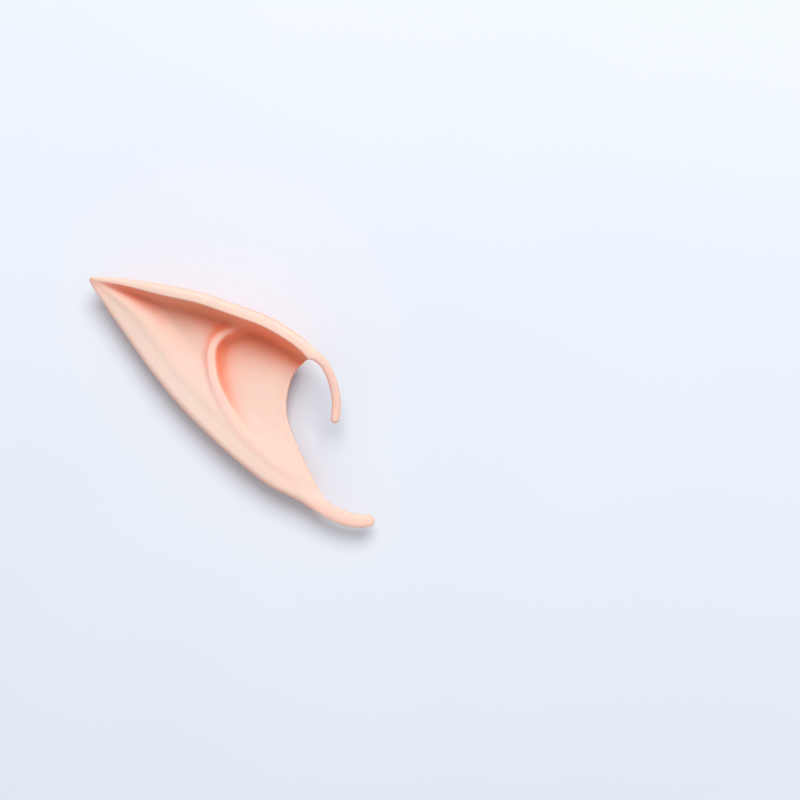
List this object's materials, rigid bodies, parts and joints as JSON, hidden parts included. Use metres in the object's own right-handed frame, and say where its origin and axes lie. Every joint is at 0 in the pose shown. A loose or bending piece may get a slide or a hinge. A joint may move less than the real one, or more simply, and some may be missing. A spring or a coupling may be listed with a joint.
{
  "type": "elf ear tip",
  "caption": "Slip-on pointed ear tip: hollow latex shell with a rolled rim, an inner ridge and bowl, a pocket open along the concave edge, and two thin straps.",
  "frame": {"origin": "bottom centre of the bounding box, on the table that the back lies on", "axes": "+X towards the wearer's face and across the ear, +Y towards the top of the ear, +Z out of the modelled front"},
  "size_m": [0.094, 0.0828, 0.022],
  "materials": {
    "latex": "soft matt flesh-coloured cast latex"
  },
  "bodies": {
    "root": {"ear_tip": "latex"}
  },
  "joints": []
}
